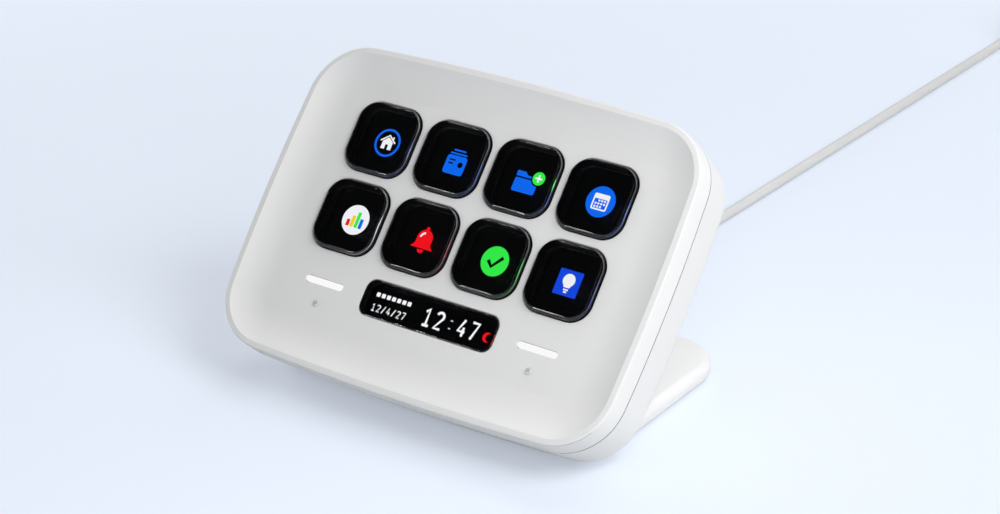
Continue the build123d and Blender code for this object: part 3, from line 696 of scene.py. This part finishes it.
def draw_clock(ink):
    """The info window's clock, date and marks: digits and plain marks only."""
    place = display_place()
    time = digit_lines("12:47", **TIME_ROW)
    date = digit_lines("12/4/27", **DATE_ROW)
    stroke_piece("clock_time", place, 0, ink["white"], 0.62, *time)
    stroke_piece("clock_date", place, 0, ink["white"], 0.27, *date)
    days = [slab(1.0, 1.0, 0.15, -16.0 + DAY_STEP * day, -24.7) for day in range(DAY_BLOCKS)]
    flat_piece("clock_days", place, 0, ink["white"], *days)
    outer = circle(1.15, 14.9, -26.6, 60, 300, 24)
    inner = circle(0.95, 15.5, -26.6, 290, 70, 20)
    flat_piece("clock_moon", place, 0, ink["red"], outer + inner)


DRAWINGS = (
    draw_home,
    draw_cards,
    draw_folder,
    draw_calendar,
    draw_chart,
    draw_bell,
    draw_check,
    draw_bulb,
)


def draw_pictures():
    """A picture under each key, and the clock under the info lens."""
    ink = {
        "blue": lit("ink_blue", BLUE),
        "deep_blue": lit("ink_deep_blue", DEEP_BLUE),
        "red": lit("ink_red", RED),
        "green": lit("ink_green", GREEN),
        "yellow": lit("ink_yellow", YELLOW),
        "white": lit("ink_white", WHITE),
        "black": lit("ink_black", BLACK),
    }
    for number, draw in zip(KEYS, DRAWINGS):
        spot = key_spot(number)
        x = spot.x + PICTURE_SHIFT[0] * MM
        y = spot.y + PICTURE_SHIFT[1] * MM
        draw(display_place(x, y, PICTURE_SIZE), ink)
    draw_clock(ink)


# ---------------------------------------------------------------- floor, world and lamps

BACKGROUND = (0.823, 0.888, 1.0, 1)
FLOOR_HALF = 8.0
FLOOR_BOUNCE = grey(0.75, (0.94, 0.97, 1.0))
SHADOW_SHARE = 0.58    # how much of the floor's shade comes from the lamps, near the object
SHADOW_REACH = (0.16, 0.42)  # the lamps' share fades out between these distances


def seen_share(tree):
    """1 where a camera, glossy or transmission ray looks."""
    path = tree.nodes.new("ShaderNodeLightPath")
    first = tree.nodes.new("ShaderNodeMath")
    first.operation = "MAXIMUM"
    tree.links.new(path.outputs["Is Camera Ray"], first.inputs[0])
    tree.links.new(path.outputs["Is Glossy Ray"], first.inputs[1])
    second = tree.nodes.new("ShaderNodeMath")
    second.operation = "MAXIMUM"
    tree.links.new(first.outputs[0], second.inputs[0])
    tree.links.new(path.outputs["Is Transmission Ray"], second.inputs[1])
    return second.outputs[0]


def near_share(tree):
    """1 round the object and 0 far from it."""
    place = tree.nodes.new("ShaderNodeTexCoord")
    distance = tree.nodes.new("ShaderNodeVectorMath")
    distance.operation = "LENGTH"
    tree.links.new(place.outputs["Object"], distance.inputs[0])
    fade = tree.nodes.new("ShaderNodeMapRange")
    fade.interpolation_type = "SMOOTHSTEP"
    fade.inputs["From Min"].default_value = SHADOW_REACH[0]
    fade.inputs["From Max"].default_value = SHADOW_REACH[1]
    fade.inputs["To Min"].default_value = 1.0
    fade.inputs["To Max"].default_value = 0.0
    tree.links.new(distance.outputs["Value"], fade.inputs["Value"])
    return fade.outputs["Result"]


def floor_material():
    """Pale for the light that it sends on; where it is seen, the background's colour and a shadow."""
    made = bpy.data.materials.new("floor")
    made.use_nodes = True
    tree = made.node_tree
    tree.nodes.clear()
    pale = tree.nodes.new("ShaderNodeBsdfDiffuse")
    pale.inputs["Color"].default_value = FLOOR_BOUNCE
    shade = tree.nodes.new("ShaderNodeBsdfDiffuse")
    shade.inputs["Color"].default_value = tuple(SHADOW_SHARE * part for part in BACKGROUND[:3]) + (1,)
    glow = tree.nodes.new("ShaderNodeEmission")
    glow.inputs["Color"].default_value = BACKGROUND
    glow.inputs["Strength"].default_value = 1 - SHADOW_SHARE
    even = tree.nodes.new("ShaderNodeEmission")
    even.inputs["Color"].default_value = BACKGROUND
    both = tree.nodes.new("ShaderNodeAddShader")
    seen = tree.nodes.new("ShaderNodeMixShader")
    mix = tree.nodes.new("ShaderNodeMixShader")
    end = tree.nodes.new("ShaderNodeOutputMaterial")
    tree.links.new(shade.outputs[0], both.inputs[0])
    tree.links.new(glow.outputs[0], both.inputs[1])
    tree.links.new(near_share(tree), seen.inputs["Fac"])
    tree.links.new(even.outputs[0], seen.inputs[1])
    tree.links.new(both.outputs[0], seen.inputs[2])
    tree.links.new(seen_share(tree), mix.inputs["Fac"])
    tree.links.new(pale.outputs[0], mix.inputs[1])
    tree.links.new(seen.outputs[0], mix.inputs[2])
    tree.links.new(mix.outputs[0], end.inputs["Surface"])
    return made


def make_floor():
    """A pale floor that keeps the object's shadow."""
    data = bpy.data.meshes.new("floor")
    half = FLOOR_HALF
    corners = [(-half, -half, 0), (half, -half, 0), (half, half, 0), (-half, half, 0)]
    data.from_pydata(corners, [], [(0, 1, 2, 3)])
    data.materials.append(floor_material())
    floor = bpy.data.objects.new("floor", data)
    bpy.context.scene.collection.objects.link(floor)


AMBIENT = 0.05          # the strength of the room's even light
BACKDROP_TOP = (0.20, 0.45)  # the pale backdrop fades into the dark room between these heights
CEILING = 0.02          # what is left of the backdrop above them


def backdrop_share(tree):
    """1 on the pale backdrop round the scene, and a little on the dark room above it."""
    place = tree.nodes.new("ShaderNodeTexCoord")
    parts = tree.nodes.new("ShaderNodeSeparateXYZ")
    tree.links.new(place.outputs["Generated"], parts.inputs[0])
    fade = tree.nodes.new("ShaderNodeMapRange")
    fade.inputs["From Min"].default_value = BACKDROP_TOP[0]
    fade.inputs["From Max"].default_value = BACKDROP_TOP[1]
    fade.inputs["To Min"].default_value = 1.0
    fade.inputs["To Max"].default_value = CEILING
    tree.links.new(parts.outputs["Z"], fade.inputs["Value"])
    return fade.outputs["Result"]


def make_world():
    """A soft even room; where it is seen, it has the background's colour up to a height."""
    world = bpy.data.worlds.new("room")
    bpy.context.scene.world = world
    world.use_nodes = True
    tree = world.node_tree
    tree.nodes.clear()
    room = tree.nodes.new("ShaderNodeBackground")
    room.inputs["Color"].default_value = (1, 1, 1, 1)
    room.inputs["Strength"].default_value = AMBIENT
    seen = tree.nodes.new("ShaderNodeBackground")
    seen.inputs["Color"].default_value = BACKGROUND
    path = tree.nodes.new("ShaderNodeLightPath")
    level = tree.nodes.new("ShaderNodeMath")
    level.operation = "MAXIMUM"
    tree.links.new(path.outputs["Is Camera Ray"], level.inputs[0])
    tree.links.new(backdrop_share(tree), level.inputs[1])
    tree.links.new(level.outputs[0], seen.inputs["Strength"])
    mix = tree.nodes.new("ShaderNodeMixShader")
    end = tree.nodes.new("ShaderNodeOutputWorld")
    tree.links.new(seen_share(tree), mix.inputs["Fac"])
    tree.links.new(room.outputs[0], mix.inputs[1])
    tree.links.new(seen.outputs[0], mix.inputs[2])
    tree.links.new(mix.outputs[0], end.inputs["Surface"])


LAMPS = {  # place, size, power, and whether polished surfaces mirror it
    "lamp_right": ((1.0, 0.0, 0.35), 0.6, 1.2, False),
    "lamp_right_high": ((0.8, 0.0, 0.8), 0.6, 6.3, False),
    "lamp_back": ((0.0, 0.7, 0.85), 0.8, 4.9, True),
    "lamp_left": ((-1.0, 0.0, 0.4), 0.6, 4.0, False),
    "lamp_front_right": ((0.7, -0.8, 0.45), 0.6, 2.0, False),
    "lamp_front_high": ((0.1, -0.75, 0.9), 0.7, 0.55, True),
    "lamp_near": ((0.13, -0.10, 0.17), 0.08, 0.13, False),
}
GLINTS = {  # small boxes that only polished edges show: place, size, power
    "glint_back": ((-0.46, 0.02, 0.80), 0.12, 0.5),
    "glint_front": ((-0.41, -0.67, 0.17), 0.12, 1.0),
}
LAMP_AIM = (0.0, 0.0, 0.035)  # inside the body


def make_lamp(name, spot, size, power):
    """A square lamp that points at the object and isn't seen itself."""
    data = bpy.data.lights.new(name, "AREA")
    data.shape = "SQUARE"
    data.size = size
    data.energy = power
    lamp = bpy.data.objects.new(name, data)
    lamp.location = spot
    lamp.visible_camera = False
    lamp.visible_transmission = False
    aim = Vector(LAMP_AIM) - Vector(spot)
    lamp.rotation_euler = aim.to_track_quat("-Z", "Y").to_euler()
    bpy.context.scene.collection.objects.link(lamp)
    return lamp


def make_lamps():
    """Plain soft studio boxes, and two small ones for the glints on the keys."""
    for name, (spot, size, power, mirrored) in LAMPS.items():
        make_lamp(name, spot, size, power).visible_glossy = mirrored
    for name, (spot, size, power) in GLINTS.items():
        make_lamp(name, spot, size, power).visible_diffuse = False


# ---------------------------------------------------------------- the scene

bpy.context.scene.view_settings.view_transform = "Standard"
make_camera()
lead = make_cable()
dress_outside()
dress_soft_parts()
dress_electronics()
dress_cable()
draw_pictures()
make_floor()
make_world()
make_lamps()
